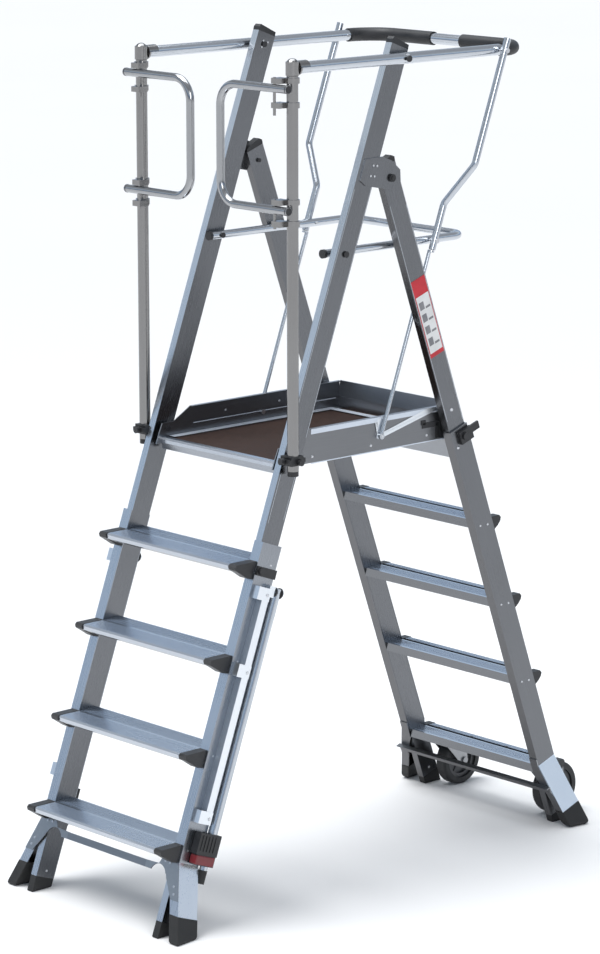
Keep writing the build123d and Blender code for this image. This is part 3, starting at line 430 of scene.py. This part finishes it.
def boots(name, node, body, radius):
    """A copy of a plain CAD boots node with a rounded sole, which stands for that node."""
    bm = bmesh.new()
    bm.from_mesh(bpy.data.objects[node].data)
    bmesh.ops.remove_doubles(bm, verts=bm.verts, dist=WELD)
    bmesh.ops.dissolve_limit(bm, angle_limit=FLAT_ANGLE, verts=bm.verts, edges=bm.edges)
    weight = bm.edges.layers.float.new("bevel_weight_edge")
    for edge in bm.edges:
        low = sum(vert.co.z < SOLE_TOP_Z for vert in edge.verts)
        sharp = edge.is_manifold and edge.calc_face_angle() > SHARP_ANGLE
        edge[weight] = (0.0, UPRIGHT_WEIGHT, SOLE_WEIGHT)[low] if sharp else 0.0
    obj = piece(name, bm, M_RUBBER, body)
    mod = obj.modifiers.new("rounding", "BEVEL")
    mod.width = radius
    mod.segments = 4
    mod.limit_method = "WEIGHT"
    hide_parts(node)


boots("front_splay_boots", "front_splay_feet", "front_lower", 0.010)
boots("rear_splay_boots", "rear_splay_feet", "rear_lower", 0.016)
boots("front_upright_boots", "front_upright_feet", "front_frame", 0.004)
boots("rear_upright_boots", "rear_upright_feet", "rear_frame", 0.004)


# ------------------------------------------------------------------ treads
RIB_HALF = 0.258
RIB_WIDTH = 0.0022
RIB_HEIGHT = 0.0010
RIB_LIFT = 0.0003


def ribs(name, treads, face_y, first, pitch, count, mat, body):
    """Fine anti-slip ribs along X on each tread, the first of them at first from the stile's face."""
    bm = bmesh.new()
    for z in treads:
        start = face_y(z) + first
        for i in range(count):
            block(bm, Vector((0, start + pitch * i, z + RIB_LIFT)), (2 * RIB_HALF, RIB_WIDTH, RIB_HEIGHT))
    piece(name, bm, mat, body)


ribs("front_outer_ribs", FRONT_TREADS, front_face_y, -0.070, 0.0055, 12, M_TREAD, "front_lower")
ribs("front_inner_ribs", FRONT_TREADS, front_face_y, 0.008, 0.0060, 9, M_TREAD_IN, "front_frame")
ribs("rear_outer_ribs", REAR_TREADS, rear_back_y, 0.018, 0.0050, 4, M_TREAD, "rear_lower")
ribs("rear_inner_ribs", REAR_TREADS, rear_back_y, -0.008, -0.0060, 8, M_TREAD, "rear_frame")


# ------------------------------------------------------------------ rivets, bolts and screws
RIVET_DOME = 0.35
RIVET_DROP = 0.018
FOOT_RIVET_Z = 0.052
# radius and depth of the heads that both ladder sections have
SLEEVE_RIVET = (0.0038, 0.0018)
FOOT_RIVET = (0.0042, 0.0022)


def rivet_set(name, spots, body):
    """Domed heads in one piece; spots are (centre, axis, radius, depth) of each."""
    bm = bmesh.new()
    for centre, axis, radius, depth in spots:
        disc(bm, Vector(centre), axis, radius, depth, RIVET_DOME)
    piece(name, bm, M_ZINC, body, bevel=0.0004)


spots = []
for s in SIDES:
    for y in (-0.245, -0.02, 0.20, 0.29):
        spots.append(((s * (BOARD_OUT + 0.0009), y, DECK_Z + 0.002), OUTWARD[s], 0.0045, 0.0022))
    for y in (-0.13, 0.08):
        spots.append(((s * (BOARD_IN - 0.0008), y, DECK_Z + 0.050), OUTWARD[-s], 0.0040, 0.0020))
rivet_set("platform_rivets", spots, "platform")

spots = []
for s in SIDES:
    for z in FRONT_TREADS:
        for v in (0.018, 0.048):
            point = front_point(s * (FRONT_SLEEVE_X - 0.0004), v, z - RIVET_DROP)
            spots.append((point, OUTWARD[s], *SLEEVE_RIVET))
rivet_set("sleeve_rivets_front", spots, "front_lower")

spots = []
for s in SIDES:
    rivet_x = s * (REAR_SLEEVE_X + 0.0008)
    for z in REAR_TREADS:
        for w in (0.018, 0.046):
            spots.append((rear_point(rivet_x, w, z - RIVET_DROP), OUTWARD[s], *SLEEVE_RIVET))
    spots.append((rear_point(rivet_x, 0.012, 1.21), OUTWARD[s], 0.0050, 0.0030))
rivet_set("sleeve_rivets_rear", spots, "rear_lower")

spots = []
for s in SIDES:
    foot_rivet = front_point(s * (INNER - 0.0008), 0.033, FOOT_RIVET_Z)
    spots.append((foot_rivet, OUTWARD[-s], *FOOT_RIVET))
rivet_set("front_foot_rivets", spots, "front_frame")

spots = []
for s in SIDES:
    foot_rivet = rear_point(s * (INNER - 0.0008), 0.033, FOOT_RIVET_Z)
    stile_bolt = rear_point(s * (OUTER + 0.0012), 0.030, 1.323)
    spots.append((foot_rivet, OUTWARD[-s], *FOOT_RIVET))
    spots.append((stile_bolt, OUTWARD[s], 0.0060, 0.0036))
rivet_set("rear_stile_bolts", spots, "rear_frame")

# small dark screws along the lowest rear tread
lowest = REAR_TREADS[-1]
bm = bmesh.new()
for x in (-0.215, -0.075, 0.075, 0.215):
    head = Vector((x, rear_back_y(lowest) + 0.012, lowest + 0.0006))
    disc(bm, head, (0, 0, 1), 0.0050, 0.0016, 0.3)
piece("rear_tread_screws", bm, M_BLACK, "rear_lower")


# ------------------------------------------------------------------ stile faces
def stile_lines(name, point, low_z, high_z, offsets, turn, body):
    """Thin raised lines on the stiles' outer faces, between two heights."""
    bm = bmesh.new()
    middle = (low_z + high_z) / 2
    length = (high_z - low_z) / math.cos(turn)
    for s in SIDES:
        for offset in offsets:
            centre = point(s * (OUTER + 0.0002), offset, middle)
            block(bm, centre, (0.0008, 0.0016, length), turn)
    piece(name, bm, M_STRUT, body)


stile_lines("front_stile_lines", front_point, 1.10, 1.235, (0.006, 0.060), -LEAN_F, "front_frame")
stile_lines("front_stile_lines_top", front_point, 1.32, 1.99, (0.003, 0.063), -LEAN_F, "front_frame")
stile_lines("rear_stile_lines", rear_point, 1.29, 1.93, (0.003, 0.061), LEAN_R, "rear_frame")


def panel_block(name, low_z, high_z, front_w, back_w, lift, mat):
    """A thin plain block on the right rear stile's outer face."""
    bm = bmesh.new()
    centre = rear_point(OUTER + lift, (front_w + back_w) / 2, (low_z + high_z) / 2)
    block(bm, centre, (0.0006, back_w - front_w, (high_z - low_z) / math.cos(LEAN_R)), LEAN_R)
    piece(name, bm, mat, "rear_frame", bevel=0.0001)


# a panel of plain colour blocks, with no text or picture
panel_block("side_panel_border", 1.490, 1.716, 0.004, 0.060, 0.0005, M_PANEL_RED)
panel_block("side_panel_body", 1.502, 1.668, 0.007, 0.057, 0.0010, M_WHITE)
for i, z in enumerate((1.625, 1.590, 1.555, 1.520)):
    panel_block("side_panel_mark_%d" % i, z, z + 0.022, 0.012, 0.030, 0.0014, M_PANEL_GREY)
    panel_block("side_panel_line_%d" % i, z + 0.006, z + 0.012, 0.034, 0.052, 0.0014, M_PANEL_GREY)

# ------------------------------------------------------------------ outriggers
# red buttons and black ribs on the clamps
BUTTON_SIZE = (0.0270, 0.0700, 0.0265)
CLAMP_RIB_SIZE = (0.0024, 0.0040, 0.0440)
for s, side in NAMED_SIDES:
    bm = bmesh.new()
    block(bm, along_front(s * 0.311, 0.063, 0.23675), BUTTON_SIZE, -LEAN_F)
    piece("outrigger_button_" + side, bm, M_RED, "outrigger_" + side, bevel=0.003)
    bm = bmesh.new()
    for i in range(5):
        block(bm, along_front(s * 0.3246, 0.036 + 0.012 * i, 0.284), CLAMP_RIB_SIZE, -LEAN_F)
    piece("outrigger_clamp_ribs_" + side, bm, M_BLACK, "outrigger_" + side, bevel=0.0006)

# dark bushes with two collars round the pivots; each row is v from, v to and radius
PIVOT_U = (OUTRIGGER_TOP_Z + OUTRIGGER_V * math.sin(LEAN_F)) / math.cos(LEAN_F)
BUSH_RINGS = ((0.0725, 0.1010, 0.0136), (0.0730, 0.0780, 0.0155), (0.0955, 0.1005, 0.0155))
for s, side in NAMED_SIDES:
    bm = bmesh.new()
    for near_v, far_v, radius in BUSH_RINGS:
        centre = along_front(s * OUTRIGGER_X, (near_v + far_v) / 2, PIVOT_U)
        disc(bm, centre, V_AXIS, radius, far_v - near_v)
    piece("outrigger_bush_" + side, bm, M_BLACK, "outrigger_" + side, bevel=0.0006)

# screws on the mounting plates
spots = []
for s in SIDES:
    for z in (0.908, 0.703, 0.316):
        spots.append((front_point(s * 0.3229, 0.040, z), OUTWARD[s], 0.0050, 0.0026))
rivet_set("outrigger_plate_screws", spots, "front_lower")

# ------------------------------------------------------------------ gates and wheels
# black plugs in the ends of the gate tubes
for s, side in NAMED_SIDES:
    bm = bmesh.new()
    for z in GATE_HEIGHTS:
        disc(bm, Vector((s * 0.3358, GATE_Y, z)), OUTWARD[s], 0.0122, 0.0072, 0.12)
    piece("gate_end_plugs_" + side, bm, M_BLACK, "gate_body_" + side, bevel=0.0008)

# spokes on both faces of each wheel's hub
SPOKES = 6
SPOKE_SIZE = (0.004, 0.028, 0.0045)
SPOKE_MIDDLE = 0.031
HUB_FACE = 0.0045
for s, side in NAMED_SIDES:
    bm = bmesh.new()
    x, y, z = WHEEL_CENTRE
    centre = Vector((s * x, y, z))
    for face in SIDES:
        for i in range(SPOKES):
            angle = 2 * math.pi * i / SPOKES
            arm = Vector((face * HUB_FACE, math.cos(angle) * SPOKE_MIDDLE, math.sin(angle) * SPOKE_MIDDLE))
            block(bm, centre + arm, SPOKE_SIZE, angle)
    piece("wheel_spokes_" + side, bm, M_HUB, "wheel_body_" + side, bevel=0.0008)

# ------------------------------------------------------------------ platform
# hooked catches on the side boards; each row is y, z, length and height
CATCH_X = 0.2485
CATCH_THICK = 0.0022
CATCH_BARS = ((0.212, 1.281, 0.062, 0.016), (0.243, 1.262, 0.016, 0.046), (0.186, 1.290, 0.018, 0.014))
bm = bmesh.new()
for s in SIDES:
    for y, z, length, height in CATCH_BARS:
        block(bm, Vector((s * CATCH_X, y, z)), (CATCH_THICK, length, height))
piece("platform_catches", bm, M_BLACK, "platform", bevel=0.0008)

# raised strips on the side boards' lower edges, upper bands and inner fold lines, and round the deck;
# their bright colour is a painted highlight
SIDE_STRIPS = (
    ((BOARD_OUT + 0.0003, 0.030, 1.2335), (0.0012, 0.560, 0.0030)),
    ((BOARD_OUT + 0.0005, 0.030, 1.3225), (0.0014, 0.560, 0.0140)),
    ((BOARD_IN - 0.0004, 0.025, 1.2790), (0.0012, 0.560, 0.0024)),
    ((0.2315, -0.030, DECK_Z + 0.0035), (0.0240, 0.630, 0.0014)),
)
bm = bmesh.new()
for s in SIDES:
    for (x, y, z), size in SIDE_STRIPS:
        block(bm, Vector((s * x, y, z)), size)
block(bm, Vector((0, 0.273, DECK_Z + 0.0038)), (0.4390, 0.0240, 0.0014))
piece("platform_edge_strips", bm, M_PAINTED_EDGE_HIGHLIGHT, "platform", bevel=0.0004)

# flat bright edges of the V-shaped stays, from (y, z) to (y, z)
STAY_X = 0.2496
STAY_EDGES = (((0.018, 1.276), (0.240, 1.326)), ((0.006, 1.268), (-0.004, 1.322)))
bm = bmesh.new()
for s in SIDES:
    for (y0, z0), (y1, z1) in STAY_EDGES:
        start = Vector((s * STAY_X, y0, z0))
        end = Vector((s * STAY_X, y1, z1))
        block(bm, (start + end) / 2, (0.0010, (end - start).length, 0.0042), math.atan2(z1 - z0, y1 - y0))
piece("stay_edges", bm, M_BRIGHT, "platform", bevel=0.0003)

# ------------------------------------------------------------------ stage, light and camera
FLOOR_HALF = 90
corners = [(x * FLOOR_HALF, y * FLOOR_HALF, 0) for x, y in ((-1, -1), (1, -1), (1, 1), (-1, 1))]
floor_mesh = bpy.data.meshes.new("floor")
floor_mesh.from_pydata(corners, [], [(0, 1, 2, 3)])
floor = bpy.data.objects.new("floor", floor_mesh)
bpy.context.scene.collection.objects.link(floor)
floor_mat, nodes, links, shader = new_material("pale_floor")
grain = noise(nodes, links, coordinates(nodes, links, (1, 1, 1)), 0.4, 1.0)
pale = ramp(nodes, links, grain, ((0.3, (0.86, 0.855, 0.85)), (0.7, (0.87, 0.865, 0.86))))
links.new(pale, shader.inputs["Base Color"])
shader.inputs["Roughness"].default_value = 0.95
shader.inputs["Specular IOR Level"].default_value = 0.1
floor_mesh.materials.append(floor_mat)

# a studio gradient by the sine of the elevation, for the reflections
SKY = (
    (0.0, (0.60, 0.62, 0.65)),
    (0.10, (0.30, 0.36, 0.46)),
    (0.24, (0.50, 0.70, 0.98)),
    (0.34, (0.86, 0.94, 1.0)),
    (0.60, (0.40, 0.43, 0.48)),
    (1.0, (0.70, 0.72, 0.75)),
)
world = bpy.data.worlds.new("studio")
bpy.context.scene.world = world
world.use_nodes = True
nodes, links = world.node_tree.nodes, world.node_tree.links
background = nodes["Background"]
place = nodes.new("ShaderNodeTexCoord")
split = nodes.new("ShaderNodeSeparateXYZ")
links.new(place.outputs["Generated"], split.inputs["Vector"])
links.new(ramp(nodes, links, split.outputs["Z"], SKY), background.inputs["Color"])
background.inputs["Strength"].default_value = 0.9


def area(name, place_at, aim, size, power, colour):
    """A rectangular lamp at place_at that looks towards aim."""
    lamp = bpy.data.lights.new(name, "AREA")
    lamp.shape = "RECTANGLE"
    lamp.size, lamp.size_y = size
    lamp.energy = power
    lamp.color = colour
    obj = bpy.data.objects.new(name, lamp)
    obj.location = place_at
    obj.rotation_mode = "QUATERNION"
    obj.rotation_quaternion = (Vector(aim) - Vector(place_at)).to_track_quat("-Z", "Y")
    bpy.context.scene.collection.objects.link(obj)


area("top", (-0.6, 0.2, 5.2), (0, 0, 1.0), (3.0, 3.0), 90.0, (0.90, 0.95, 1.0))
area("side", (3.6, -1.6, 3.4), (0, 0, 1.1), (1.2, 2.0), 40.0, (1.0, 0.98, 0.96))
sun = bpy.data.lights.new("sun", "SUN")
sun.energy = 2.1
sun.angle = math.radians(35)
sun_obj = bpy.data.objects.new("sun", sun)
sun_obj.rotation_euler = (math.radians(18), math.radians(-14), 0)
bpy.context.scene.collection.objects.link(sun_obj)

# the camera, as fitted to the photo: millimetres for the lens, metres for its place
LENS = 138.03094
SENSOR = 36.0
AZIMUTH = math.radians(47.40)
ELEVATION = math.radians(11.97)
ROLL = math.radians(-0.084)
camera_data = bpy.data.cameras.new("camera")
camera = bpy.data.objects.new("camera", camera_data)
bpy.context.scene.collection.objects.link(camera)
camera_data.sensor_width = SENSOR
camera_data.lens = LENS
camera_data.clip_end = 200.0
level = math.cos(ELEVATION)
look = Vector((-math.sin(AZIMUTH) * level, math.cos(AZIMUTH) * level, -math.sin(ELEVATION)))
camera.location = (7.539, -6.996, 3.301)
camera.rotation_mode = "QUATERNION"
camera.rotation_quaternion = (
    look.to_track_quat("-Z", "Y") @ Matrix.Rotation(ROLL, 3, "Z").to_quaternion()
)
bpy.context.scene.camera = camera
bpy.context.scene.view_settings.view_transform = "Standard"
